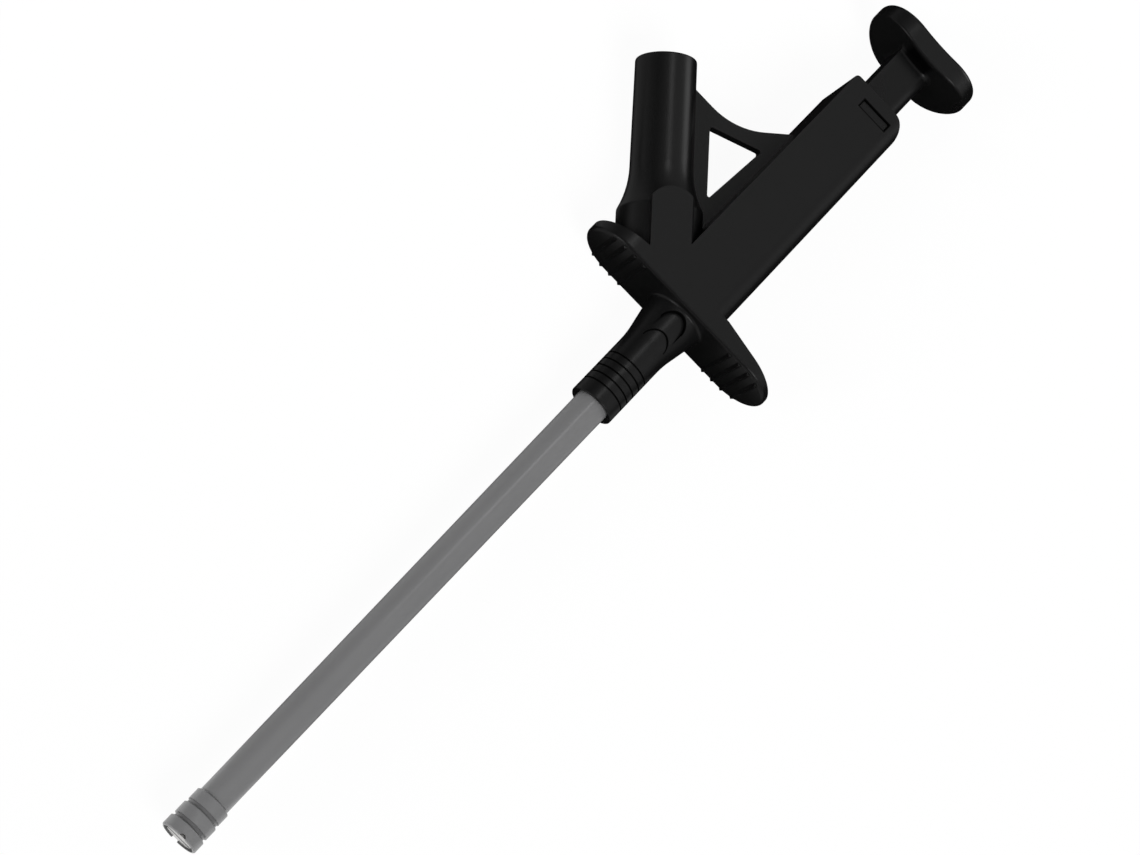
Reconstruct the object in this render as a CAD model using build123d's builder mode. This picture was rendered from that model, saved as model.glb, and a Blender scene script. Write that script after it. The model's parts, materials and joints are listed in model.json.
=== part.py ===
from build123d import *
import os

# Long-reach spring clamp probe with a shrouded 4 mm plug socket. Millimetres.
# X runs along the shaft from the jaws to the thumb button, Y points to the side
# that carries the socket, Z is up. The probe lies on its flat side at Z = 0, and
# the origin is on that side, under the shaft's axis, at the back of the finger flange.

# Clearances
seat_gap = 0.02
running_gap = 0.06
slide_gap = 0.08
rest_gap = 0.1

# Grip: body, flange and nose
half_depth = 7.0
body_length = 49.3
body_top = 7.15
body_top_rear = 6.95
body_bottom = 6.1
body_bottom_rear = 5.8
body_edge_radius = 3.2
body_rear_top_radius = 0.8
body_rear_bottom_radius = 3.6
flange_width = 41.0
flange_thickness = 3.7
flange_top_tip = 2.0
flange_bottom_tip = 1.2
flange_flat_half = 6.2
flange_rim_radius = 0.6
rib_count = 4
rib_pitch = 2.2
rib_outermost = 16.8
rib_base = 0.95
rib_height = 0.4
nose_length = 21.5
nose_radius = 4.1
nose_rim_round = 0.2
nose_rim_wall = 0.4
nose_entry_depth = 0.7
nose_cylinder_length = 12.3
nose_blend_length = 3.0
nose_root_radius = 5.45
nose_root_fillet = 0.6
nose_groove_count = 5
nose_groove_first = 2.75
nose_groove_pitch = 1.53
nose_groove_width = 0.32
nose_groove_depth = 0.22
tread_setbacks = (5.0, 0.8)
tread_half_width = 2.35
tread_lead = 0.13
tread_sink = 0.06

# Plug socket barrel, leaning back from the shaft
barrel_lean = 40.0
mouth_x = 28.2
mouth_y = 31.2
barrel_mouth_radius = 5.25
barrel_root_radius = 5.38
barrel_mouth_round = 0.35
flare_start = 19.0
flare_length = 7.6
flare_radius = 7.3
flare_corner_round = 1.0
root_length = 14.0
pad_half_width = 3.8
pad_end_depth = 23.8
pad_shoulder_depth = 25.8
pad_bevel = 0.45
root_sink = 2.2

# Web between the barrel and the body
web_thickness = 2.0
web_edge_radius = 13.4
web_edge_x = 28.05
web_edge_y = 20.2
web_edge_turn = 44.0
window_near = (15.25, 9.9)
window_far = (29.0, 8.9)
window_top_x = 25.2
window_corner_radius = 0.4

# Shaft tube
tube_length = 110.7
tube_rear_radius = 3.02
tube_front_radius = 2.75
tube_insert = 13.2
tube_bore_radius = 1.6
jaw_bore_radius = 2.5
jaw_bore_depth = 16.0
tube_ring_width = 2.0
tube_ring_gap = 0.82
tube_ring_radii = (3.37, 3.27, 3.13)
tube_groove_radius = 2.93
tube_lip_chamfer = 0.2
tube_ring_ramp = 0.3
tube_mouth_radius = 2.95
tube_mouth_depth = 0.8
tube_notch_radius = 0.6

# Push rod and its sleeve
rod_radius = 0.8
rod_bond_gap = 0.02
rod_sleeve_radius = 1.3
rod_depth_in_stem = 9.4

# Thumb button and stem
button_width = 22.2
button_reach = 11.7
button_thickness = 4.2
button_under_rise_top = 2.4
button_under_rise_bottom = 1.5
button_thumb_rise_top = 1.5
button_thumb_rise_bottom = 0.9
button_under_rim = 0.45
button_thumb_rim = 0.9
stem_top = 4.1
stem_bottom = 3.35
stem_half_depth = 3.3
stem_edge_radius = 2.2
stem_blend = 1.0
travel = 8.0

# Rear guide, the snap-in insert that closes the body
guide_length = 12.4
guide_top = 5.5
guide_bottom = 4.3
guide_half_depth = 5.2
lug_from_rear = 4.0
lug_length = 1.6
lug_bottom = 3.1
lug_top = 3.0
lug_gap = 0.15
lug_recess = 0.35

# Return spring, its washer and the stop collar
chamber_radius = 3.95
chamber_front = 7.5
washer_thickness = 0.6
washer_radius = 3.8
spring_mean_radius = 3.3
spring_wire_radius = 0.35
spring_turns = 9.5
collar_thickness = 1.6
collar_radius = 4.2

# Rod cross pin
cross_pin_radius = 0.5
cross_pin_from_end = 4.4

# Contact parts
contact_bush_length = 7.4
contact_bush_radius = 2.6
contact_bush_rear = -4.2
rod_passage_radius = 1.2
wiper_thickness = 0.2
wiper_width = 1.2
wiper_reach = 5.4
wiper_seat = 2.3
shroud_bore_radius = 4.2
shroud_depth = 19.0
socket_collar_radius = 3.15
socket_collar_recess = 0.8
socket_collar_seat = 4.0
socket_mouth_radius = 2.4
contact_recess = 3.6
contact_radius = 2.6
contact_bore_radius = 2.0
contact_floor = 0.9
contact_tail_radius = 1.6
contact_tail_length = 2.1
link_pin_radius = 0.9
link_pin_socket = 1.8
link_pin_rod_clear = 1.0

# Jaws and their carrier
pivot_from_mouth = 11.0
pivot_pin_radius = 0.5
knuckle_radius = 1.3
fork_inner_half = 1.5
fork_outer_half = 2.1
carrier_radius = 2.42
carrier_hub_length = 2.4
carrier_hub_setback = 2.0
fork_reach = 1.5
jaw_split_gap = 0.12
jaw_arm_radius = 1.4
jaw_arm_start = 1.45
jaw_cone_start = 6.6
jaw_cone_end = 10.4
jaw_cone_radius = 2.1
jaw_head_radius = 2.43
jaw_head_length = 0.6
jaw_grip_radius = 0.85
jaw_grip_from_head = 2.2
jaw_spring_thickness = 0.16
jaw_spring_width = 1.1
jaw_spring_half_gap = 0.28
jaw_spring_length = 4.2
jaw_spring_slot_half = 0.7
jaw_spring_slot_depth = 0.55

# Planes and axes that the pieces share
mid = Plane.XY.offset(half_depth)
shaft_axis = Axis((0, 0, half_depth), (1, 0, 0))
barrel_way = Vector(-1, 0, 0).rotate(Axis.Z, barrel_lean)
mouth = Vector(mouth_x, mouth_y, half_depth)
barrel_plane = Plane(origin=mouth, x_dir=barrel_way, z_dir=(0, 0, 1))
barrel_axis = Axis(mouth, barrel_way)

os.makedirs("parts", exist_ok=True)

# Places along the shaft, worked out from the sizes above
flange_front = -flange_thickness
nose_front = flange_front - nose_length
tube_rear = nose_front + tube_insert
tube_front = tube_rear - tube_length
jaw_bore_front = tube_front + tube_mouth_depth
jaw_bore_end = jaw_bore_front + jaw_bore_depth
pivot_x = jaw_bore_front + pivot_from_mouth
carrier_hub_front = pivot_x + carrier_hub_setback
carrier_rear = carrier_hub_front + carrier_hub_length
guide_front = body_length - guide_length
lug_front = body_length - lug_from_rear
collar_rear = guide_front - rest_gap
collar_front = collar_rear - collar_thickness
stem_front = collar_rear
stop_shoulder = collar_front - travel - rest_gap
rod_rear = stem_front + rod_depth_in_stem
rod_front = carrier_hub_front + rest_gap
button_under = body_length + button_reach
button_thumb = button_under + button_thickness
cross_pin_x = rod_rear - cross_pin_from_end
contact_bush_front = contact_bush_rear - contact_bush_length
washer_rear = chamber_front + washer_thickness
socket_collar_seat_depth = shroud_depth + socket_collar_seat
bore_bottom = socket_collar_seat_depth - contact_floor
contact_end = socket_collar_seat_depth + contact_tail_length
link_pin_end = (mouth_y - rod_radius - link_pin_rod_clear) / abs(barrel_way.Y)


# Body: a D-shaped bar, drafted and rounded at its rear in side view
with BuildPart() as body_form:
    with BuildSketch(Plane.YZ):
        with Locations(((body_top - body_bottom) / 2, half_depth)):
            Rectangle(body_top + body_bottom, 2 * half_depth)
        fillet(vertices().group_by(Axis.X)[0], body_edge_radius)
    extrude(amount=body_length)
    with BuildSketch(mid):
        with BuildLine():
            FilletPolyline(
                (-1, body_top),
                (body_length, body_top_rear),
                (body_length, -body_bottom_rear),
                (-1, -body_bottom),
                radius=[body_rear_top_radius, body_rear_bottom_radius],
            )
            Line((-1, -body_bottom), (-1, body_top))
        make_face()
    extrude(amount=half_depth, both=True, mode=Mode.INTERSECT)

# Finger flange: a stadium plate, thinner towards both ends, with grip ribs
with BuildPart() as flange_form:
    with BuildSketch(Plane.YZ.offset(flange_front)):
        with Locations((0, half_depth)):
            SlotOverall(flange_width, 2 * half_depth)
    extrude(amount=flange_thickness)
    with BuildSketch(mid):
        with BuildLine():
            Polyline(
                (flange_front, -flange_width / 2),
                (flange_front + flange_bottom_tip, -flange_width / 2),
                (0, -flange_flat_half),
                (0, flange_flat_half),
                (flange_front + flange_top_tip, flange_width / 2),
                (flange_front, flange_width / 2),
                close=True,
            )
        make_face()
    extrude(amount=half_depth, both=True, mode=Mode.INTERSECT)
    fillet(edges().group_by(Axis.X)[0], flange_rim_radius)

with BuildPart() as grip_ribs:
    with BuildSketch(mid):
        for number in range(rib_count):
            rib_y = rib_outermost - number * rib_pitch
            for side in (1, -1):
                with Locations((flange_front, side * rib_y)):
                    Polygon(
                        (rib_height, -rib_base),
                        (rib_height, rib_base),
                        (-rib_height, 0),
                        align=None,
                    )
    extrude(amount=half_depth, both=True)
    with BuildSketch(Plane.YZ.offset(flange_front - rib_height)):
        with Locations((0, half_depth)):
            SlotOverall(flange_width - 2 * flange_rim_radius, 2 * (half_depth - flange_rim_radius))
    extrude(amount=flange_thickness, mode=Mode.INTERSECT)

# Nose: grooved sleeve that flares into the flange
nose_straight_end = nose_front + nose_cylinder_length
nose_slope_length = flange_front - nose_root_fillet - nose_straight_end - nose_blend_length / 2
nose_slope = (nose_root_radius - nose_radius) / nose_slope_length
nose_blend_rise = nose_slope * nose_blend_length / 2
with BuildPart() as nose_form:
    with BuildSketch(mid):
        with BuildLine():
            Polyline(
                (flange_front + 1, 0),
                (nose_front, 0),
                (nose_front, nose_radius),
                (nose_straight_end, nose_radius),
            )
            TangentArc(
                (nose_straight_end, nose_radius),
                (nose_straight_end + nose_blend_length, nose_radius + nose_blend_rise),
                tangent=(1, 0),
            )
            Line(
                (nose_straight_end + nose_blend_length, nose_radius + nose_blend_rise),
                (flange_front - nose_root_fillet, nose_root_radius),
            )
            ThreePointArc(
                (flange_front - nose_root_fillet, nose_root_radius),
                (
                    flange_front - nose_root_fillet * (1 - 0.5**0.5),
                    nose_root_radius + nose_root_fillet * (1 - 0.5**0.5),
                ),
                (flange_front, nose_root_radius + nose_root_fillet),
            )
            Polyline(
                (flange_front, nose_root_radius + nose_root_fillet),
                (flange_front + 1, nose_root_radius + nose_root_fillet),
                (flange_front + 1, 0),
            )
        make_face()
        fillet(vertices().sort_by_distance((nose_front, nose_radius))[0], nose_rim_round)
    revolve(axis=shaft_axis)
    with BuildSketch(mid):
        for number in range(nose_groove_count):
            groove_x = nose_front + nose_groove_first + number * nose_groove_pitch
            with Locations((groove_x, nose_radius)):
                Rectangle(nose_groove_width, 2 * nose_groove_depth)
    revolve(axis=shaft_axis, mode=Mode.SUBTRACT)

# Thumbnail treads: two round-ended steps let into both sides of the flare
tread_radius = nose_radius + tread_lead
tread_cuts = []
for setback in tread_setbacks:
    tread_end = flange_front - setback
    tread_start = nose_straight_end - tread_half_width
    with BuildPart() as tread_cut:
        with BuildSketch(mid):
            with Locations(((tread_start + tread_end) / 2, 0)):
                SlotOverall(tread_end - tread_start, 2 * tread_half_width)
        extrude(amount=half_depth, both=True)
        with BuildSketch(Plane.YZ.offset(nose_front)):
            with Locations((0, half_depth)):
                Circle(tread_radius)
        extrude(amount=nose_length, mode=Mode.SUBTRACT)
    tread_cuts.append(tread_cut.part)
    tread_run = tread_end - nose_straight_end - nose_blend_length / 2
    tread_radius = nose_radius + nose_slope * tread_run - tread_sink

# Pad: flat raised band on the barrel's root, bevelled along the side towards the body
root_end = flare_start + flare_length + root_length
with BuildPart() as pad_form:
    with BuildSketch(barrel_plane):
        with BuildLine():
            ThreePointArc(
                (pad_shoulder_depth, -pad_half_width),
                (pad_end_depth, 0),
                (pad_shoulder_depth, pad_half_width),
            )
            Polyline(
                (pad_shoulder_depth, pad_half_width),
                (root_end, pad_half_width),
                (root_end, -pad_half_width),
                (pad_shoulder_depth, -pad_half_width),
            )
        make_face()
    extrude(amount=half_depth, both=True)
    body_side = Axis(mouth, barrel_plane.y_dir)
    chamfer(edges().filter_by(barrel_axis).group_by(body_side)[-1], pad_bevel)

# Socket barrel: drafted tube with a flared root and the pad on both sides
with BuildPart() as barrel_form:
    with BuildSketch(barrel_plane):
        with BuildLine():
            Polyline(
                (root_end, 0),
                (0, 0),
                (0, barrel_mouth_radius),
                (flare_start, barrel_root_radius),
            )
            TangentArc(
                (flare_start, barrel_root_radius),
                (flare_start + flare_length, flare_radius),
                tangent=(flare_start, barrel_root_radius - barrel_mouth_radius),
            )
            Polyline(
                (flare_start + flare_length, flare_radius),
                (root_end, flare_radius),
                (root_end, 0),
            )
        make_face()
        flare_end = (flare_start + flare_length, flare_radius)
        fillet(vertices().sort_by_distance(flare_end)[0], flare_corner_round)
        fillet(vertices().sort_by_distance((0, barrel_mouth_radius))[0], barrel_mouth_round)
    revolve(axis=barrel_axis)
    add(pad_form.part)
    with BuildSketch(mid):
        with Locations((mouth_x, mouth_y)):
            Rectangle(4 * root_end, 4 * root_end)
    extrude(amount=half_depth, both=True, mode=Mode.INTERSECT)
    split(bisect_by=Plane.YZ.offset(-root_sink), keep=Keep.TOP)

# Web: thin plate between barrel and body, with a three-cornered window
with BuildSketch(mid) as web_window:
    window_slope = abs(barrel_way.Y / barrel_way.X)
    with BuildLine():
        Polyline(
            window_near,
            (window_top_x, window_near[1] + window_slope * (window_top_x - window_near[0])),
            window_far,
            close=True,
        )
    make_face()
    fillet(vertices(), window_corner_radius)

with BuildPart() as web_form:
    foot_y = body_top - 1
    with BuildSketch(mid):
        with BuildLine():
            edge = CenterArc((web_edge_x + web_edge_radius, web_edge_y), web_edge_radius, 180, web_edge_turn)
            foot_run = (edge @ 1).Y - foot_y
            foot_x = (edge @ 1).X - foot_run * (edge % 1).X / (edge % 1).Y
            Polyline(
                edge @ 1,
                (foot_x, foot_y),
                (0, foot_y),
                (mouth_x - 4, mouth_y - 4),
                (web_edge_x, mouth_y - 4),
                edge @ 0,
            )
        make_face()
        add(web_window.sketch_local, mode=Mode.SUBTRACT)
    extrude(amount=web_thickness / 2, both=True)

# Housing: one moulding with the bores for everything it holds
with BuildPart() as housing:
    add(body_form.part)
    add(flange_form.part)
    add(grip_ribs.part)
    add(nose_form.part)
    for tread in tread_cuts:
        add(tread, mode=Mode.SUBTRACT)
    add(barrel_form.part)
    add(web_form.part)
    tube_seat_radius = tube_rear_radius + seat_gap
    bush_seat_radius = contact_bush_radius + seat_gap
    collar_bore_radius = collar_radius + slide_gap
    with BuildSketch(mid):
        with BuildLine():
            Polyline(
                (nose_front - 1, 0),
                (nose_front - 1, nose_radius - nose_rim_wall),
                (nose_front, nose_radius - nose_rim_wall),
                (nose_front + nose_entry_depth, tube_seat_radius),
                (tube_rear + seat_gap, tube_seat_radius),
                (tube_rear + seat_gap, bush_seat_radius),
                (contact_bush_rear + seat_gap, bush_seat_radius),
                (contact_bush_rear + seat_gap, rod_passage_radius),
                (chamber_front, rod_passage_radius),
                (chamber_front, chamber_radius),
                (stop_shoulder, chamber_radius),
                (stop_shoulder, collar_bore_radius),
                (guide_front, collar_bore_radius),
                (guide_front, 0),
                close=True,
            )
        make_face()
    revolve(axis=shaft_axis, mode=Mode.SUBTRACT)
    with BuildSketch(Plane.YZ.offset(stem_front - travel - rest_gap)):
        with Locations(((stem_top - stem_bottom) / 2, half_depth)):
            Rectangle(stem_top + stem_bottom + 2 * slide_gap, 2 * (stem_half_depth + slide_gap))
    extrude(amount=travel + 2 * rest_gap, mode=Mode.SUBTRACT)
    with BuildSketch(Plane.YZ.offset(guide_front)):
        with Locations(((guide_top - guide_bottom) / 2, half_depth)):
            Rectangle(guide_top + guide_bottom, 2 * guide_half_depth)
    extrude(amount=guide_length + 1, mode=Mode.SUBTRACT)
    with BuildSketch(mid):
        with Locations((lug_front + lug_length / 2, (lug_top - lug_bottom) / 2)):
            Rectangle(lug_length, lug_top + lug_bottom)
    extrude(amount=half_depth + 1, both=True, mode=Mode.SUBTRACT)
    with BuildSketch(barrel_plane):
        with BuildLine():
            Polyline(
                (-1, 0),
                (-1, shroud_bore_radius),
                (shroud_depth, shroud_bore_radius),
                (shroud_depth, socket_collar_radius + seat_gap),
                (socket_collar_seat_depth, socket_collar_radius + seat_gap),
                (socket_collar_seat_depth, contact_tail_radius + seat_gap),
                (contact_end + seat_gap, contact_tail_radius + seat_gap),
                (contact_end + seat_gap, link_pin_radius + seat_gap),
                (link_pin_end, link_pin_radius + seat_gap),
                (link_pin_end, 0),
                close=True,
            )
        make_face()
    revolve(axis=barrel_axis, mode=Mode.SUBTRACT)
housing.part.label = "housing"
export_step(housing.part, "parts/housing.step")

# Shaft tube: drafted grey tube, three rings at its mouth, wider bore for the jaws
with BuildPart() as shaft_tube:
    with BuildSketch(mid):
        with BuildLine():
            outline = [(tube_rear, tube_bore_radius), (tube_rear, tube_rear_radius)]
            outline += [(nose_front, tube_rear_radius)]
            ring_back = tube_front + len(tube_ring_radii) * (tube_ring_width + tube_ring_gap) - tube_ring_gap
            for number, ring_radius in enumerate(reversed(tube_ring_radii)):
                ring_rear = ring_back - number * (tube_ring_width + tube_ring_gap)
                ring_front = ring_rear - tube_ring_width
                rest_radius = tube_front_radius if number == 0 else tube_groove_radius
                outline += [
                    (ring_rear + tube_ring_ramp, rest_radius),
                    (ring_rear, ring_radius),
                ]
                if number < len(tube_ring_radii) - 1:
                    outline += [(ring_front, ring_radius), (ring_front, tube_groove_radius)]
            outline += [
                (tube_front + tube_lip_chamfer, tube_ring_radii[0]),
                (tube_front, tube_ring_radii[0] - tube_lip_chamfer),
                (tube_front, tube_mouth_radius),
                (jaw_bore_front, tube_mouth_radius),
                (jaw_bore_front, jaw_bore_radius),
                (jaw_bore_end, jaw_bore_radius),
                (jaw_bore_end, tube_bore_radius),
            ]
            Polyline(*outline, close=True)
        make_face()
    revolve(axis=shaft_axis)
    with BuildSketch(mid):
        with Locations((tube_front, 0)):
            Circle(tube_notch_radius)
    extrude(amount=half_depth, both=True, mode=Mode.SUBTRACT)
shaft_tube.part.label = "shaft_tube"
export_step(shaft_tube.part, "parts/shaft_tube.step")

# Rear guide: snaps into the body from behind and carries the stem
with BuildPart() as rear_guide:
    with BuildSketch(Plane.YZ.offset(guide_front)):
        with Locations(((guide_top - guide_bottom) / 2, half_depth)):
            Rectangle(guide_top + guide_bottom - 2 * seat_gap, 2 * (guide_half_depth - seat_gap))
    extrude(amount=guide_length)
    with BuildSketch(mid):
        with Locations((lug_front + lug_length / 2, (lug_top - lug_bottom) / 2)):
            Rectangle(lug_length - 2 * lug_gap, lug_top + lug_bottom - 2 * lug_gap)
    extrude(amount=half_depth - lug_recess, both=True)
    with BuildSketch(Plane.YZ.offset(guide_front)):
        with Locations(((stem_top - stem_bottom) / 2, half_depth)):
            Rectangle(
                stem_top + stem_bottom + 2 * slide_gap,
                2 * (stem_half_depth + slide_gap),
            )
    extrude(amount=guide_length, mode=Mode.SUBTRACT)
    add(body_form.part, mode=Mode.INTERSECT)
rear_guide.part.label = "rear_guide"
export_step(rear_guide.part, "parts/rear_guide.step")

# Thumb plunger: saddle-shaped button on a D-shaped stem, one moulding
with BuildPart() as thumb_plunger:
    half_width = button_width / 2
    with BuildSketch(mid):
        with BuildLine():
            under = ThreePointArc(
                (button_under + button_under_rise_bottom, -half_width),
                (button_under, 0),
                (button_under + button_under_rise_top, half_width),
            )
            thumb = ThreePointArc(
                (button_thumb + button_thumb_rise_bottom, -half_width),
                (button_thumb, 0),
                (button_thumb + button_thumb_rise_top, half_width),
            )
            Line(under @ 0, thumb @ 0)
            Line(under @ 1, thumb @ 1)
        make_face()
    extrude(amount=half_depth, both=True)
    with BuildSketch(Plane.YZ.offset(body_length)):
        with Locations((0, half_depth)):
            SlotOverall(button_width, 2 * half_depth)
    extrude(amount=2 * button_reach, mode=Mode.INTERSECT)
    fillet(faces().sort_by(Axis.X)[0].edges(), button_under_rim)
    fillet(faces().sort_by(Axis.X)[-1].edges(), button_thumb_rim)
    with BuildSketch(Plane.YZ.offset(stem_front)):
        with Locations(((stem_top - stem_bottom) / 2, half_depth)):
            Rectangle(stem_top + stem_bottom, 2 * stem_half_depth)
        fillet(vertices().group_by(Axis.X)[0], stem_edge_radius)
    extrude(amount=button_under + button_thickness / 2 - stem_front)
    stem_joint = edges().filter_by_position(Axis.X, button_under - rest_gap, button_under + 1)
    stem_joint = stem_joint.filter_by_position(Axis.Y, -stem_bottom - rest_gap, stem_top + rest_gap)
    fillet(stem_joint, stem_blend)
    with BuildSketch(Plane.YZ.offset(stem_front)):
        with Locations((0, half_depth)):
            Circle(rod_radius + rod_bond_gap)
    extrude(amount=rod_depth_in_stem + rod_bond_gap, mode=Mode.SUBTRACT)
    with BuildSketch(mid):
        with Locations((cross_pin_x, 0)):
            Circle(cross_pin_radius + rod_bond_gap)
    extrude(amount=stem_half_depth, both=True, mode=Mode.SUBTRACT)
thumb_plunger.part.label = "thumb_plunger"
export_step(thumb_plunger.part, "parts/thumb_plunger.step")

# Push rod: steel wire rod from the stem to the jaw carrier, drilled for the cross pin
with BuildPart() as push_rod:
    with BuildSketch(Plane.YZ.offset(rod_front)):
        with Locations((0, half_depth)):
            Circle(rod_radius)
    extrude(amount=rod_rear - rod_front)
    with BuildSketch(mid):
        with Locations((cross_pin_x, 0)):
            Circle(cross_pin_radius + rod_bond_gap)
    extrude(amount=rod_radius, both=True, mode=Mode.SUBTRACT)
push_rod.part.label = "push_rod"
export_step(push_rod.part, "parts/push_rod.step")

with BuildPart() as cross_pin:
    with BuildSketch(mid):
        with Locations((cross_pin_x, 0)):
            Circle(cross_pin_radius)
    extrude(amount=stem_half_depth - rest_gap, both=True)
cross_pin.part.label = "rod_cross_pin"
export_step(cross_pin.part, "parts/rod_cross_pin.step")

# Rod sleeve: insulating tube that also steadies the rod in the shaft
sleeve_front = carrier_rear + rest_gap
sleeve_rear = tube_rear - rest_gap
with BuildPart() as rod_sleeve:
    with BuildSketch(Plane.YZ.offset(sleeve_front)):
        with Locations((0, half_depth)):
            Circle(rod_sleeve_radius)
            Circle(rod_radius + rod_bond_gap, mode=Mode.SUBTRACT)
    extrude(amount=sleeve_rear - sleeve_front)
rod_sleeve.part.label = "rod_sleeve"
export_step(rod_sleeve.part, "parts/rod_sleeve.step")

# Stop collar: pinched on the rod, pushes the spring and stops the stroke both ways
with BuildPart() as stop_collar:
    with BuildSketch(Plane.YZ.offset(collar_front)):
        with Locations((0, half_depth)):
            Circle(collar_radius)
            Circle(rod_radius + rod_bond_gap, mode=Mode.SUBTRACT)
    extrude(amount=collar_thickness)
stop_collar.part.label = "stop_collar"
export_step(stop_collar.part, "parts/stop_collar.step")

with BuildPart() as spring_washer:
    with BuildSketch(Plane.YZ.offset(chamber_front)):
        with Locations((0, half_depth)):
            Circle(washer_radius)
            Circle(rod_passage_radius, mode=Mode.SUBTRACT)
    extrude(amount=washer_thickness)
spring_washer.part.label = "spring_washer"
export_step(spring_washer.part, "parts/spring_washer.step")

# Return spring: round wire coil between the washer and the collar
with BuildPart() as return_spring:
    coil_length = collar_front - washer_rear - 2 * spring_wire_radius - 2 * seat_gap
    coil_start = washer_rear + spring_wire_radius + seat_gap
    with BuildLine():
        coil = Helix(
            pitch=coil_length / spring_turns,
            height=coil_length,
            radius=spring_mean_radius,
            center=(coil_start, 0, half_depth),
            direction=(1, 0, 0),
        )
    with BuildSketch(Plane(origin=coil @ 0, z_dir=coil % 0)):
        Circle(spring_wire_radius)
    sweep(path=coil, is_frenet=True)
return_spring.part.label = "return_spring"
export_step(return_spring.part, "parts/return_spring.step")

# Contact bush: live brass bush behind the tube, drilled for the link pin
with BuildPart() as contact_bush:
    with BuildSketch(Plane.YZ.offset(contact_bush_front)):
        with Locations((0, half_depth)):
            Circle(contact_bush_radius)
            Circle(rod_radius + running_gap, mode=Mode.SUBTRACT)
    extrude(amount=contact_bush_length)
    with BuildSketch(barrel_plane):
        with BuildLine():
            Polyline(
                (0, 0),
                (0, link_pin_radius + seat_gap),
                (link_pin_end, link_pin_radius + seat_gap),
                (link_pin_end, 0),
                close=True,
            )
        make_face()
    revolve(axis=barrel_axis, mode=Mode.SUBTRACT)
    with BuildSketch(mid):
        with Locations((contact_bush_front + contact_bush_length / 2, -contact_bush_radius)):
            Rectangle(wiper_reach + 2 * rest_gap, 2 * (contact_bush_radius - rod_radius))
    extrude(amount=wiper_width / 2 + rest_gap, both=True, mode=Mode.SUBTRACT)
contact_bush.part.label = "contact_bush"
export_step(contact_bush.part, "parts/contact_bush.step")

# Contact wiper: bowed bronze leaf in the bush's slot, its crown on the rod
with BuildPart() as contact_wiper:
    wiper_middle = contact_bush_front + contact_bush_length / 2
    with BuildSketch(mid):
        with BuildLine():
            ThreePointArc(
                (wiper_middle - wiper_reach / 2, -wiper_seat),
                (wiper_middle, -rod_radius - seat_gap),
                (wiper_middle + wiper_reach / 2, -wiper_seat),
            )
            ThreePointArc(
                (wiper_middle - wiper_reach / 2, -wiper_seat - wiper_thickness),
                (wiper_middle, -rod_radius - seat_gap - wiper_thickness),
                (wiper_middle + wiper_reach / 2, -wiper_seat - wiper_thickness),
            )
            for side in (1, -1):
                Line(
                    (wiper_middle + side * wiper_reach / 2, -wiper_seat),
                    (wiper_middle + side * wiper_reach / 2, -wiper_seat - wiper_thickness),
                )
        make_face()
    extrude(amount=wiper_width / 2, both=True)
contact_wiper.part.label = "contact_wiper"
export_step(contact_wiper.part, "parts/contact_wiper.step")

# Link pin: brass pin along the barrel's axis, from the socket contact to the bush
link_pin_start = contact_end - link_pin_socket
with BuildPart() as link_pin:
    with BuildSketch(barrel_plane):
        with BuildLine():
            Polyline(
                (link_pin_start, 0),
                (link_pin_start, link_pin_radius),
                (link_pin_end - seat_gap, link_pin_radius),
                (link_pin_end - seat_gap, 0),
                close=True,
            )
        make_face()
    revolve(axis=barrel_axis)
link_pin.part.label = "link_pin"
export_step(link_pin.part, "parts/link_pin.step")

# Socket contact: turned brass sleeve with the 4 mm bore and a drilled tail
with BuildPart() as socket_contact:
    with BuildSketch(barrel_plane):
        with BuildLine():
            Polyline(
                (contact_recess, contact_bore_radius),
                (contact_recess, contact_radius),
                (socket_collar_seat_depth, contact_radius),
                (socket_collar_seat_depth, contact_tail_radius),
                (contact_end, contact_tail_radius),
                (contact_end, link_pin_radius + seat_gap),
                (link_pin_start - seat_gap, link_pin_radius + seat_gap),
                (link_pin_start - seat_gap, 0),
                (bore_bottom, 0),
                (bore_bottom, contact_bore_radius),
                close=True,
            )
        make_face()
    revolve(axis=barrel_axis)
socket_contact.part.label = "socket_contact"
export_step(socket_contact.part, "parts/socket_contact.step")

# Socket collar: insulating inner tube round the contact, inside the shroud space
with BuildPart() as socket_collar:
    with BuildSketch(barrel_plane):
        with BuildLine():
            Polyline(
                (socket_collar_recess, socket_mouth_radius),
                (socket_collar_recess, socket_collar_radius),
                (socket_collar_seat_depth - seat_gap, socket_collar_radius),
                (socket_collar_seat_depth - seat_gap, contact_radius + seat_gap),
                (contact_recess - seat_gap, contact_radius + seat_gap),
                (contact_recess - seat_gap, socket_mouth_radius),
                close=True,
            )
        make_face()
    revolve(axis=barrel_axis)
socket_collar.part.label = "socket_collar"
export_step(socket_collar.part, "parts/socket_collar.step")

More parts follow.
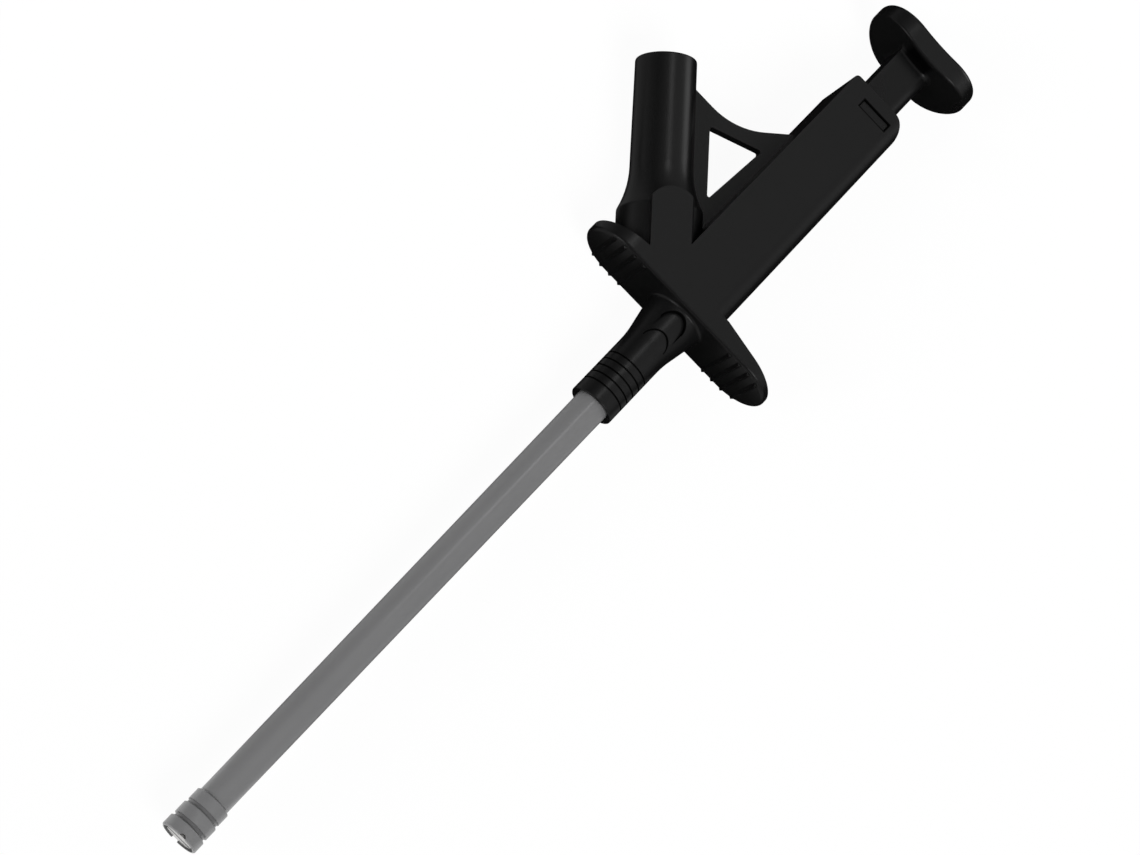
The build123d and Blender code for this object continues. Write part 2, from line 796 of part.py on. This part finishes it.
# Jaw carrier: steel fork on the rod's end, a sliding fit in the tube's mouth
with BuildPart() as jaw_carrier:
    with BuildSketch(Plane.YZ.offset(carrier_rear)):
        with Locations((0, half_depth)):
            Circle(carrier_radius)
    extrude(amount=pivot_x - fork_reach - carrier_rear)
    with BuildSketch(mid):
        fork_front = pivot_x - fork_reach - 1
        with Locations(((fork_front + carrier_hub_front) / 2, 0)):
            Rectangle(carrier_hub_front - fork_front, 2 * fork_inner_half)
    extrude(amount=2 * carrier_radius, both=True, mode=Mode.SUBTRACT)
    with BuildSketch(mid):
        with Locations(((fork_front + carrier_hub_front) / 2, 0)):
            Rectangle(carrier_hub_front - fork_front, 2 * carrier_radius)
            Rectangle(carrier_hub_front - fork_front, 2 * fork_outer_half, mode=Mode.SUBTRACT)
    extrude(amount=2 * carrier_radius, both=True, mode=Mode.SUBTRACT)
    with BuildSketch(Plane.YZ.offset(carrier_rear)):
        with Locations((0, half_depth)):
            Circle(rod_radius + rod_bond_gap)
    extrude(amount=-carrier_hub_length, mode=Mode.SUBTRACT)
    with BuildSketch(Plane.XZ):
        with Locations((pivot_x, half_depth)):
            Circle(pivot_pin_radius + rod_bond_gap)
    extrude(amount=carrier_radius, both=True, mode=Mode.SUBTRACT)
jaw_carrier.part.label = "jaw_carrier"
export_step(jaw_carrier.part, "parts/jaw_carrier.step")

with BuildPart() as jaw_pin:
    with BuildSketch(Plane.XZ):
        with Locations((pivot_x, half_depth)):
            Circle(pivot_pin_radius)
    extrude(amount=fork_outer_half, both=True)
jaw_pin.part.label = "jaw_pin"
export_step(jaw_pin.part, "parts/jaw_pin.step")

# Jaws: two half-round claws that share the pin side by side, one above the other
arm_start = pivot_x - jaw_arm_start
head_back = jaw_bore_front
head_front = jaw_bore_front - jaw_head_length
for jaw_name, side in (("jaw_upper", 1), ("jaw_lower", -1)):
    with BuildPart() as jaw:
        with BuildSketch(mid):
            with BuildLine():
                Polyline(
                    (arm_start, 0),
                    (arm_start, jaw_arm_radius),
                    (pivot_x - jaw_cone_start, jaw_arm_radius),
                    (pivot_x - jaw_cone_end, jaw_cone_radius),
                    (head_back, jaw_cone_radius),
                    (head_back, jaw_head_radius),
                    (head_front, jaw_head_radius),
                    (head_front, 0),
                    close=True,
                )
            make_face()
        revolve(axis=shaft_axis)
        with BuildSketch(mid):
            with Locations(((pivot_x + head_front) / 2, 0)):
                Rectangle(2 * pivot_from_mouth, 4 * jaw_head_radius)
        extrude(amount=side * (jaw_split_gap / 2), mode=Mode.SUBTRACT)
        split(bisect_by=mid, keep=Keep.TOP if side == 1 else Keep.BOTTOM)
        knuckle_plane = Plane.XZ.offset(-side * jaw_split_gap / 4)
        knuckle_width = fork_inner_half - rest_gap / 2 - jaw_split_gap / 4
        with BuildSketch(knuckle_plane):
            with Locations((pivot_x, half_depth)):
                Circle(knuckle_radius)
            with Locations((pivot_x - jaw_arm_start / 2, half_depth + side * knuckle_radius / 2)):
                Rectangle(jaw_arm_start + rest_gap, knuckle_radius - jaw_split_gap)
        extrude(amount=-side * knuckle_width)
        with BuildSketch(Plane.XZ):
            with Locations((pivot_x, half_depth)):
                Circle(pivot_pin_radius + running_gap)
            with Locations((head_front + jaw_grip_from_head, half_depth)):
                Circle(jaw_grip_radius)
        extrude(amount=jaw_head_radius, both=True, mode=Mode.SUBTRACT)
        with BuildSketch(mid):
            with Locations((pivot_x - jaw_arm_start - jaw_spring_length / 2 - rest_gap, 0)):
                Rectangle(jaw_spring_length + 2 * rest_gap, 2 * jaw_spring_slot_half)
        extrude(amount=side * jaw_spring_slot_depth, mode=Mode.SUBTRACT)
    jaw.part.label = jaw_name
    export_step(jaw.part, "parts/" + jaw_name + ".step")

# Jaw spring: folded leaf between the claws that spreads them as they come out
with BuildPart() as jaw_spring:
    fold_x = pivot_x - jaw_arm_start - jaw_spring_half_gap - rest_gap
    leg_end = pivot_x - jaw_arm_start - jaw_spring_length
    with BuildSketch(Plane.XZ):
        with BuildLine():
            fold = CenterArc((fold_x, half_depth), jaw_spring_half_gap, -90, 180)
            Line(fold @ 0, (leg_end, half_depth - jaw_spring_half_gap))
            Line(fold @ 1, (leg_end, half_depth + jaw_spring_half_gap))
        trace(line_width=jaw_spring_thickness)
    extrude(amount=jaw_spring_width / 2, both=True)
jaw_spring.part.label = "jaw_spring"
export_step(jaw_spring.part, "parts/jaw_spring.step")
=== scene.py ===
import json
import math

import bmesh
import bpy
from mathutils import Matrix, Vector


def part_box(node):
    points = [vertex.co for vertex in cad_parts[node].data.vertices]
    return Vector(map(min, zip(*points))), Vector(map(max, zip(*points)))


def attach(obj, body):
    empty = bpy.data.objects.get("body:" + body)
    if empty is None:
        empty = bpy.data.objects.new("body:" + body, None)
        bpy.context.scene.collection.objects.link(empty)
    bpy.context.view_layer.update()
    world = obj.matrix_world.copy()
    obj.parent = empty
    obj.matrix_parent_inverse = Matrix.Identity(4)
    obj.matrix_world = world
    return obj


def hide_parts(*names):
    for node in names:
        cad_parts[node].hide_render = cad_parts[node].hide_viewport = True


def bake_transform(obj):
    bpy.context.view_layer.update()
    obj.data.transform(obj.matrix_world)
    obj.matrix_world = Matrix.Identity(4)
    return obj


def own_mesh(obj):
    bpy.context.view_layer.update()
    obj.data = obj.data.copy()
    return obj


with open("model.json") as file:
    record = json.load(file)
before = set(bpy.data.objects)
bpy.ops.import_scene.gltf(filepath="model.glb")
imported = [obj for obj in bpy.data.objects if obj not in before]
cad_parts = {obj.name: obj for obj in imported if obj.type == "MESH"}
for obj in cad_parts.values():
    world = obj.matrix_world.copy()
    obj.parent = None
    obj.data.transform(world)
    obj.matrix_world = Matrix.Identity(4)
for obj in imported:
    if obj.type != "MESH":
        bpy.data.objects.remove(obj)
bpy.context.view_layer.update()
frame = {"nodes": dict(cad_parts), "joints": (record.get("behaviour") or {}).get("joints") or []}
nodes = frame["nodes"]

# Places on the part are in millimetres, and times MM they are in Blender's metres
MM = 0.001
AXIS_Z = 7.0
LEAN = math.radians(40.0)
MOUTH = Vector((28.2, 31.2, AXIS_Z))
INTO_BARREL = Vector((-math.cos(LEAN), -math.sin(LEAN), 0.0))


# Shader maths


class Sock:
    """A socket whose sums and products add Math nodes."""

    def __init__(self, tree, link):
        self.tree = tree
        self.link = link

    def _math(self, kind, other, swap=False):
        first, second = (other, self) if swap else (self, other)
        return self.tree.node("ShaderNodeMath", {"operation": kind}, {0: first, 1: second})

    def __add__(self, other):
        return self._math("ADD", other)

    def __radd__(self, other):
        return self._math("ADD", other, swap=True)

    def __sub__(self, other):
        return self._math("SUBTRACT", other)

    def __rsub__(self, other):
        return self._math("SUBTRACT", other, swap=True)

    def __mul__(self, other):
        return self._math("MULTIPLY", other)

    def __rmul__(self, other):
        return self._math("MULTIPLY", other, swap=True)

    def __pow__(self, other):
        return self._math("POWER", other)

    def __lt__(self, other):
        return self._math("LESS_THAN", other)

    def __gt__(self, other):
        return self._math("GREATER_THAN", other)

    def __abs__(self):
        return self.tree.node("ShaderNodeMath", {"operation": "ABSOLUTE"}, {0: self})

    def most(self, other):
        return self._math("MAXIMUM", other)

    def ramp(self, low, high, out_low=0.0, out_high=1.0, rise="SMOOTHSTEP"):
        return self.tree.node(
            "ShaderNodeMapRange",
            {"interpolation_type": rise},
            {"Value": self, "From Min": low, "From Max": high, "To Min": out_low, "To Max": out_high},
        )


class Tree:
    """A shader tree, built node by node."""

    def __init__(self, net):
        self.net = net
        net.nodes.clear()

    def node(self, kind, settings=None, ins=None, out=0):
        """A new node: its settings first, then its sockets, set or linked. Gives an output, if it has one."""
        made = self.net.nodes.new(kind)
        for key, value in (settings or {}).items():
            setattr(made, key, value)
        for key, value in (ins or {}).items():
            if isinstance(value, Sock):
                self.net.links.new(value.link, made.inputs[key])
            else:
                made.inputs[key].default_value = value
        return Sock(self, made.outputs[out]) if made.outputs else None


class Finish(Tree):
    """One named material, on the piece's own coordinates in metres."""

    def __init__(self, name):
        self.mat = bpy.data.materials.new(name)
        self.mat.use_nodes = True
        super().__init__(self.mat.node_tree)
        self.place = self.node("ShaderNodeTexCoord", out="Object")

    def across(self, part):
        """One coordinate of the place on the piece: 0 for X, 1 for Y, 2 for Z."""
        return self.node("ShaderNodeSeparateXYZ", None, {"Vector": self.place}, out=part)

    def from_middle(self):
        """How far a place is from the middle plane, where the mould's halves meet."""
        return abs(self.across(2) - AXIS_Z * MM)

    def from_shaft(self):
        """How far a place is from the shaft's axis."""
        y = self.across(1)
        z = self.across(2) - AXIS_Z * MM
        return (y * y + z * z) ** 0.5

    def noise(self, scale, detail=3.0, rough=0.55, along=None):
        """Noise over the piece, drawn out along an axis where it is scaled down."""
        place = self.place
        if along:
            place = self.node("ShaderNodeMapping", None, {"Vector": place, "Scale": along})
        ins = {"Vector": place, "Scale": scale, "Detail": detail, "Roughness": rough}
        return self.node("ShaderNodeTexNoise", None, ins)

    def blend(self, factor, first, second):
        """A colour between two colours."""
        ins = {"Factor": factor, 6: first, 7: second}
        return self.node("ShaderNodeMix", {"data_type": "RGBA"}, ins, out=2)

    def tinted(self, tone, blue):
        """A grey of this tone with a touch more blue."""
        return self.node("ShaderNodeCombineColor", None, {"Red": tone, "Green": tone, "Blue": tone * blue})

    def bump(self, height, distance, strength):
        ins = {"Height": height, "Distance": distance, "Strength": strength}
        return self.node("ShaderNodeBump", None, ins)

    def principled(self, **values):
        """The Principled shader with its sockets set or linked."""
        ins = {key.replace("_", " "): value for key, value in values.items()}
        return self.node("ShaderNodeBsdfPrincipled", None, ins)

    def surface(self, shader):
        """The material, with this shader as its surface."""
        self.node("ShaderNodeOutputMaterial", None, {"Surface": shader})
        return self.mat


def grey(level):
    return (level, level, level, 1.0)


def darker(colour, share):
    """The colour with only a share of its light."""
    return (*(part * share for part in colour[:3]), 1.0)


# Finishes


def grip_painted_shade(f):
    """Painted shade on the grip: in the nose grooves, along the thumbnail treads' edges and in the slot round
    the lug.
    """
    x = f.across(0)
    y = f.across(1)

    groove_floor = 4.01 * MM
    groove_lip = 4.08 * MM
    grooves_start = -24.0 * MM
    grooves_end = -15.0 * MM
    # Painted shade in the nose grooves
    grooved = (x > grooves_start) * (x < grooves_end)
    grooves = f.from_shaft().ramp(groove_floor, groove_lip, 0.8, 0.0) * grooved

    tread_half_width = 2.35 * MM
    treads = 0.0
    for round_end in (-11.05 * MM, -6.85 * MM):
        along = x - round_end
        edge = abs((along * along + y * y) ** 0.5 - tread_half_width)
        # Painted shade along the round ends of the treads
        treads = edge.ramp(0.06 * MM, 0.15 * MM, 0.85, 0.0) * (along > 0.0) + treads

    lug_x = 46.1 * MM
    lug_y = -0.05 * MM
    lug_half_length = 0.8 * MM
    lug_half_width = 3.05 * MM
    out = (abs(x - lug_x) - lug_half_length).most(abs(y - lug_y) - lug_half_width)
    flat_face = f.from_middle() > 6.5 * MM
    # Painted shadow in the gap round the lug
    slot = out.ramp(0.1 * MM, 0.26 * MM, 0.9, 0.0) * flat_face
    return grooves.most(treads).most(slot)


def thumb_painted_shadow(f):
    """Painted shadow in the corner where the stem meets the underside of the button."""
    stem_half_depth = 3.3 * MM
    shadow_middle = 0.7 * MM
    button_rim = 62.4 * MM
    deep = f.from_middle()
    off_stem = deep.ramp(stem_half_depth - 0.04 * MM, stem_half_depth + 0.2 * MM)
    off_edge = deep.ramp(5.7 * MM, 6.6 * MM, 1.0, 0.0)
    wide = abs(f.across(1) - shadow_middle).ramp(2.0 * MM, 3.5 * MM, 0.97, 0.0)
    # Painted shadow under the button's near rim, beside the stem
    return off_stem * off_edge * wide * (f.across(0) < button_rim)


def moulded(name, level, grain, rough, parted=True, painted_shade=None):
    """Black nylon with the mould's grain, flow clouds, the parting line and, where a mask is given, painted
    shade.
    """
    f = Finish(name)
    broad = f.noise(55.0, detail=2.0)
    fine = f.noise(grain, detail=2.0, rough=0.6)
    coarse = f.noise(grain * 0.35, detail=2.0)
    rubbed = f.noise(45.0, detail=1.0, rough=0.4).ramp(0.35, 0.75)
    height = fine * 0.5 + coarse * 0.5
    if parted:
        seam = f.from_middle().ramp(0.02 * MM, 0.07 * MM, 1.0, 0.0)
        height = height + 1.6 * seam
    shader = f.principled(
        Base_Color=f.tinted(level * (0.86 + 0.24 * broad + 0.08 * fine), blue=1.02),
        Roughness=rough + 0.05 * broad - 0.04 * rubbed,
        Normal=f.bump(height, 0.008 * MM, 0.4),
    )
    # Painted shade: a dark matte coat is mixed in where the mask is given
    if painted_shade:
        shade_coat = f.principled(Base_Color=grey(level * 0.15), Roughness=0.9, Specular_IOR_Level=0.05)
        shader = f.node("ShaderNodeMixShader", None, {0: painted_shade(f), 1: shader, 2: shade_coat})
    return f.surface(shader)


def turned_metal(name, colour, rough, centre, way, pitch=0.12, split_shade=None):
    """Turned metal: fine tool rings, tarnish in patches and, on a claw, painted shade along the split in
    front.
    """
    f = Finish(name)
    start = tuple(part * MM for part in centre)
    off = f.node("ShaderNodeVectorMath", {"operation": "SUBTRACT"}, {0: f.place, 1: start})
    along = f.node("ShaderNodeVectorMath", {"operation": "DOT_PRODUCT"}, {0: off, 1: tuple(way)}, out=1)
    far = f.node("ShaderNodeVectorMath", {"operation": "LENGTH"}, {0: off}, out=1)
    out = (far * far - along * along).most(0.0) ** 0.5
    turn = (along + out) * (2 * math.pi / (pitch * MM))
    rings = f.node("ShaderNodeMath", {"operation": "SINE"}, {0: turn})
    waver = f.noise(900.0)
    patch = f.noise(420.0, rough=0.6).ramp(0.35, 0.75)
    paint = f.blend(patch * 0.5 + 0.2 * waver, colour, darker(colour, 0.8))
    # On a claw, painted shade along the split where the two claws meet
    if split_shade:
        claw_front = f.across(0) < -122.3 * MM
        near_split = f.from_middle().ramp(split_shade * 0.4 * MM, split_shade * MM, 0.85, 0.0)
        paint = f.blend(near_split * claw_front, paint, grey(0.02))
    shader = f.principled(
        Base_Color=paint,
        Metallic=1.0,
        Roughness=rough + 0.10 * patch + 0.05 * waver,
        Normal=f.bump(rings * 0.5 + waver, 0.0025 * MM, 0.5),
    )
    return f.surface(shader)


def drawn_wire(name, colour, rough):
    """Metal drawn through a die or rolled: long faint streaks and spots of dull oxide."""
    f = Finish(name)
    streak = f.noise(700.0, rough=0.6, along=(0.12, 1.0, 1.0))
    spots = f.noise(1900.0, detail=2.0).ramp(0.55, 0.8)
    shader = f.principled(
        Base_Color=f.blend(spots * 0.6, colour, darker(colour, 0.7)),
        Metallic=1.0,
        Roughness=rough + 0.12 * streak + 0.1 * spots,
        Normal=f.bump(streak, 0.003 * MM, 0.6),
    )
    return f.surface(shader)


def tube_finish():
    """Mid-grey nylon of the shaft: flow streaks, a satin skin, rings rubbed pale and painted shade in the
    grooves between.
    """
    f = Finish("shaft_grey_nylon")
    streak = f.noise(420.0, detail=4.0, rough=0.6, along=(0.05, 1.0, 1.0))
    cloud = f.noise(70.0, detail=2.0)
    fine = f.noise(5200.0, detail=2.0)
    seam = f.from_middle().ramp(0.02 * MM, 0.06 * MM, 1.0, 0.0)

    proud = f.from_shaft().ramp(2.95 * MM, 3.2 * MM)
    on_rings = f.across(0).ramp(-112.0 * MM, -115.0 * MM)
    rub = proud * on_rings * f.noise(600.0).ramp(0.35, 0.7)
    # Painted shade in the grooves between the rings
    sunk = f.from_shaft().ramp(3.05 * MM, 2.97 * MM)
    among_rings = f.across(0).ramp(-115.5 * MM, -115.8 * MM)
    groove = sunk * among_rings

    nylon = 0.2
    tone = nylon * (0.93 + 0.07 * streak + 0.08 * cloud + 0.02 * fine) + 0.012 * rub
    shader = f.principled(
        Base_Color=f.tinted(tone * (1.0 - 0.32 * groove), blue=1.012),
        Roughness=0.36 + 0.10 * streak - 0.08 * rub,
        Specular_IOR_Level=0.35,
        Coat_Weight=0.50 + 0.08 * cloud,
        Coat_Roughness=0.14,
        Normal=f.bump(fine * 0.4 + streak * 0.6 + seam, 0.0025 * MM, 0.5),
    )
    return f.surface(shader)


def sleeve_finish():
    """Milky sleeve over the rod, with flow streaks along it."""
    f = Finish("rod_sleeve_milky")
    cloud = f.noise(300.0)
    streak = f.noise(800.0, rough=0.6, along=(0.04, 1.0, 1.0))
    shader = f.principled(
        Base_Color=f.blend(cloud, (0.78, 0.77, 0.73, 1.0), (0.86, 0.85, 0.82, 1.0)),
        Roughness=0.22 + 0.12 * streak,
        Subsurface_Weight=0.15,
        Subsurface_Radius=(0.001, 0.001, 0.0009),
        Subsurface_Scale=0.6,
        Normal=f.bump(streak, 0.004 * MM, 0.5),
    )
    return f.surface(shader)


SHAFT = {"centre": (0.0, 0.0, AXIS_Z), "way": (1.0, 0.0, 0.0)}
BARREL = {"centre": MOUTH, "way": INTO_BARREL}
NICKEL = (0.74, 0.73, 0.71, 1.0)
BRASS = (0.79, 0.62, 0.33, 1.0)
STEEL = (0.60, 0.60, 0.59, 1.0)
BRONZE = (0.72, 0.47, 0.27, 1.0)
SPRING_STEEL = (0.57, 0.57, 0.56, 1.0)
LEAF_STEEL = (0.62, 0.61, 0.58, 1.0)

finishes = {
    "housing": moulded("grip_black_nylon", level=0.0048, grain=3600.0, rough=0.30, painted_shade=grip_painted_shade),
    "thumb_plunger": moulded("thumb_black_nylon", level=0.0047, grain=4200.0, rough=0.28, painted_shade=thumb_painted_shadow),
    "rear_guide": moulded("guide_black_nylon", level=0.0042, grain=4800.0, rough=0.36, parted=False),
    "socket_collar": moulded("collar_black_nylon", level=0.0044, grain=5200.0, rough=0.26, parted=False),
    "shaft_tube": tube_finish(),
    "socket_contact": turned_metal("contact_nickel", NICKEL, rough=0.16, **BARREL),
    "link_pin": turned_metal("link_brass", BRASS, rough=0.24, **BARREL),
    "contact_bush": turned_metal("bush_brass", BRASS, rough=0.26, **SHAFT, pitch=0.2),
    "contact_wiper": drawn_wire("wiper_bronze", BRONZE, rough=0.25),
    "spring_washer": turned_metal("washer_steel", STEEL, rough=0.32, **SHAFT, pitch=0.16),
    "stop_collar": turned_metal("stop_steel", STEEL, rough=0.28, **SHAFT, pitch=0.14),
    "push_rod": drawn_wire("rod_steel", STEEL, rough=0.20),
    "rod_cross_pin": drawn_wire("cross_pin_steel", STEEL, rough=0.26),
    "rod_sleeve": sleeve_finish(),
    "jaw_carrier": turned_metal("carrier_nickel", NICKEL, rough=0.20, **SHAFT),
    "jaw_pin": drawn_wire("pivot_steel", STEEL, rough=0.18),
    "jaw_upper": turned_metal("jaw_nickel_upper", NICKEL, rough=0.16, **SHAFT, pitch=0.10, split_shade=0.7),
    "jaw_lower": turned_metal("jaw_nickel_lower", NICKEL, rough=0.16, **SHAFT, pitch=0.10, split_shade=0.7),
}
spring_finish = drawn_wire("spring_steel", SPRING_STEEL, rough=0.22)
leaf_finish = drawn_wire("leaf_steel", LEAF_STEEL, rough=0.20)


def dress(obj, mat):
    obj.data.materials.clear()
    obj.data.materials.append(mat)


for name, mat in finishes.items():
    dress(nodes[name], mat)


# Pieces modelled anew: the return coil and the spreading leaf

SAME_PLACE = 1e-7


def piece(name, bm, mat, body=None):
    """The finished mesh as an object, riding on a body where one is given."""
    mesh = bpy.data.meshes.new(name)
    for face in bm.faces:
        face.smooth = True
    bm.to_mesh(mesh)
    bm.free()
    obj = bpy.data.objects.new(name, mesh)
    bpy.context.scene.collection.objects.link(obj)
    dress(obj, mat)
    if body:
        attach(obj, body)
    return obj


def return_coil():
    """The coil between the washer and the stop collar, with closed ends."""
    low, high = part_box("return_spring")
    length = high.x - low.x
    slide = next(joint for joint in frame["joints"] if joint["name"] == "plunger_slide")
    stroke = slide["range_m"][1]
    wire = 0.35 * MM
    mean = (high.z - low.z) / 2 - wire
    start = low.x + wire
    turns = 9.5
    closed_turns = 1.25
    closed_run = 2.1 * wire
    open_turns = turns - 2 * closed_turns
    open_run = length - 2 * wire - 2 * closed_run
    steps_a_turn = 28

    bm = bmesh.new()
    ring = bmesh.ops.create_circle(bm, segments=10, radius=wire)
    stand = Matrix.Translation((start, 0.0, AXIS_Z * MM + mean)) @ Matrix.Rotation(math.radians(90), 4, "X")
    bmesh.ops.transform(bm, matrix=stand, verts=ring["verts"])
    end = bm.edges[:] + bm.verts[:]
    for span, run in ((closed_turns, closed_run), (open_turns, open_run), (closed_turns, closed_run)):
        steps = int(span * steps_a_turn)
        made = bmesh.ops.spin(
            bm,
            geom=end,
            cent=(start, 0.0, AXIS_Z * MM),
            axis=(1.0, 0.0, 0.0),
            dvec=(run / steps, 0.0, 0.0),
            angle=span * 2 * math.pi,
            steps=steps,
        )
        end = made["geom_last"]
    bmesh.ops.holes_fill(bm, edges=[edge for edge in bm.edges if edge.is_boundary])
    bmesh.ops.recalc_face_normals(bm, faces=bm.faces)
    coil = piece("return_coil", bm, spring_finish, "grip")
    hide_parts("return_spring")
    (length - stroke) / length
    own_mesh(coil)


def spring_leaf(name, side):
    """One leg of the folded leaf that spreads the claws."""
    low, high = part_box("jaw_spring")
    thick = 0.16 * MM
    half_gap = (high.z - low.z) / 2 - thick / 2
    fold_x = high.x - half_gap - thick / 2
    reach = fold_x - low.x
    leg_z = AXIS_Z * MM + side * (half_gap - thick / 2)

    bm = bmesh.new()
    bmesh.ops.create_grid(bm, x_segments=14, y_segments=2, size=0.5)
    bmesh.ops.scale(bm, vec=(reach, high.y - low.y, 1.0), verts=bm.verts)
    bmesh.ops.translate(bm, vec=((fold_x + low.x) / 2, 0.0, leg_z), verts=bm.verts)
    at_fold = {vert for vert in bm.verts if abs(vert.co.x - fold_x) < SAME_PLACE}
    fold = [edge for edge in bm.edges if at_fold.issuperset(edge.verts)]
    bmesh.ops.spin(
        bm,
        geom=fold,
        cent=(fold_x, 0.0, AXIS_Z * MM),
        axis=(0.0, 1.0, 0.0),
        angle=side * math.radians(90),
        steps=6,
    )
    bmesh.ops.remove_doubles(bm, verts=bm.verts, dist=SAME_PLACE)
    bmesh.ops.recalc_face_normals(bm, faces=bm.faces)
    bmesh.ops.solidify(bm, geom=bm.faces[:], thickness=-side * thick)
    bmesh.ops.recalc_face_normals(bm, faces=bm.faces)
    leaf = piece(name, bm, leaf_finish)
    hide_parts("jaw_spring")
    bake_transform(leaf)


return_coil()
spring_leaf("spreader_leaf_upper", 1)
spring_leaf("spreader_leaf_lower", -1)


# Floor, light and camera


def floor():
    """White to the eye, dark with paler fields beside the part in reflections, and a fill from below."""
    f = Finish("floor_white")
    seen = f.node("ShaderNodeLightPath", out="Is Camera Ray")
    shine = f.node("ShaderNodeLightPath", out="Is Glossy Ray")
    clear = f.node("ShaderNodeLightPath", out="Is Transmission Ray")
    bounce = f.node("ShaderNodeLightPath", out="Is Diffuse Ray")

    x = f.across(0)
    y = f.across(1)
    at_tip = x.ramp(-98.0 * MM, -112.0 * MM) * x.ramp(-126.6 * MM, -125.0 * MM, 0.62, 1.0)
    beside_nose = abs(y).ramp(9.0 * MM, 13.0 * MM) * x.ramp(-8.5 * MM, -10.5 * MM)
    off_barrel = (y - MOUTH.y * MM) * math.cos(LEAN) - (x - MOUTH.x * MM) * math.sin(LEAN)
    past_barrel = off_barrel.ramp(7.0 * MM, 10.0 * MM) * x.ramp(1.0 * MM, 4.0 * MM)
    paler = (0.75 * at_tip).most(0.19 * beside_nose).most(0.18 * past_barrel)

    paint = f.blend(seen, grey(0.004), grey(0.07))
    plain = f.node("ShaderNodeBsdfDiffuse", None, {"Color": paint, "Roughness": 1.0})
    strength = seen * 0.95 + shine * (0.004 + paler) + clear * 0.9 + bounce * 1.8
    white = f.node("ShaderNodeEmission", None, {"Color": grey(1.0), "Strength": strength})
    both = f.node("ShaderNodeAddShader", None, {0: plain, 1: white})

    half_side = 1500.0 * MM
    just_below = -0.02 * MM
    bm = bmesh.new()
    bmesh.ops.create_grid(bm, x_segments=1, y_segments=1, size=half_side)
    bmesh.ops.translate(bm, vec=(-30.0 * MM, 0.0, just_below), verts=bm.verts)
    piece("studio_floor", bm, f.surface(both))


def sky():
    """White to the eye, otherwise a soft light from high on one side and a faint glow at the horizon."""
    world = bpy.data.worlds.new("studio_sky")
    world.use_nodes = True
    bpy.context.scene.world = world
    w = Tree(world.node_tree)
    look = w.node("ShaderNodeTexCoord", out="Generated")
    bright_side = (0.5, -0.45, 0.74)
    facing = w.node("ShaderNodeVectorMath", {"operation": "DOT_PRODUCT"}, {0: look, 1: bright_side}, out=1)
    soft = facing.ramp(0.1, 0.95, 0.02, 0.36, rise="LINEAR")
    height = w.node("ShaderNodeSeparateXYZ", None, {"Vector": look}, out=2)
    glow = height.ramp(0.0, 0.6, 0.22, 0.0, rise="LINEAR")
    seen = w.node("ShaderNodeLightPath", out="Is Camera Ray")
    strength = seen.ramp(0.0, 1.0, soft.most(glow), 1.0, rise="LINEAR")
    back = w.node("ShaderNodeBackground", None, {"Strength": strength})
    w.node("ShaderNodeOutputWorld", None, {"Surface": back})


def sun(name, strength, spread, towards, gloss=1.0):
    """A soft lamp, of which only the share called gloss is mirrored in the part."""
    for suffix, share in (("", gloss), ("_fill", 1.0 - gloss)):
        if share <= 0.0:
            continue
        lamp = bpy.data.lights.new(name + suffix, "SUN")
        lamp.energy = strength * share
        lamp.angle = math.radians(spread)
        obj = bpy.data.objects.new(name + suffix, lamp)
        obj.rotation_mode = "QUATERNION"
        obj.rotation_quaternion = Vector(towards).to_track_quat("-Z", "Y")
        obj.visible_glossy = suffix == ""
        bpy.context.scene.collection.objects.link(obj)


def camera():
    """The photograph's camera: 0.486 m from the shaft, which is turned 20.6 degrees out of the picture."""
    photo_pixels = 1140.0
    focal_pixels = 2980.0
    sensor_width = 36.0
    turn = math.radians(20.6)
    tip = math.radians(6.0)
    roll = math.radians(46.34)
    distance = 485.7 * MM
    lift = 0.033 * MM
    aim = Vector((-30.4, 0.0, AXIS_Z)) * MM

    right = Vector((math.cos(turn), math.sin(tip) * math.sin(turn), math.cos(tip) * math.sin(turn)))
    up = Vector((0.0, math.cos(tip), -math.sin(tip)))
    ahead = Vector((math.sin(turn), -math.sin(tip) * math.cos(turn), -math.cos(tip) * math.cos(turn)))
    picture_right = math.cos(roll) * right - math.sin(roll) * up
    picture_up = math.sin(roll) * right + math.cos(roll) * up

    data = bpy.data.cameras.new("photo_camera")
    data.sensor_width = sensor_width
    data.lens = focal_pixels / photo_pixels * sensor_width
    data.clip_start = 10.0 * MM
    data.clip_end = 10.0
    obj = bpy.data.objects.new("photo_camera", data)
    bpy.context.scene.collection.objects.link(obj)
    place = aim - distance * ahead + lift * up
    spin = Matrix((picture_right, picture_up, -ahead)).transposed().to_4x4()
    obj.matrix_world = Matrix.Translation(place) @ spin
    bpy.context.scene.camera = obj


floor()
sky()
sun("near_softbox", strength=1.85, spread=30.0, towards=(0.35, 0.55, -0.757), gloss=0.2)
sun("tip_softbox", strength=1.05, spread=30.0, towards=(0.75, -0.50, -0.43), gloss=0.25)
sun("far_softbox", strength=0.55, spread=30.0, towards=(0.10, -0.90, -0.42), gloss=0.0)
sun("side_softbox", strength=0.22, spread=30.0, towards=(-0.76, 0.585, -0.28))
sun("top_strip", strength=0.07, spread=12.0, towards=(-0.352, -0.19, -0.916))
camera()

bpy.context.scene.view_settings.view_transform = "Standard"
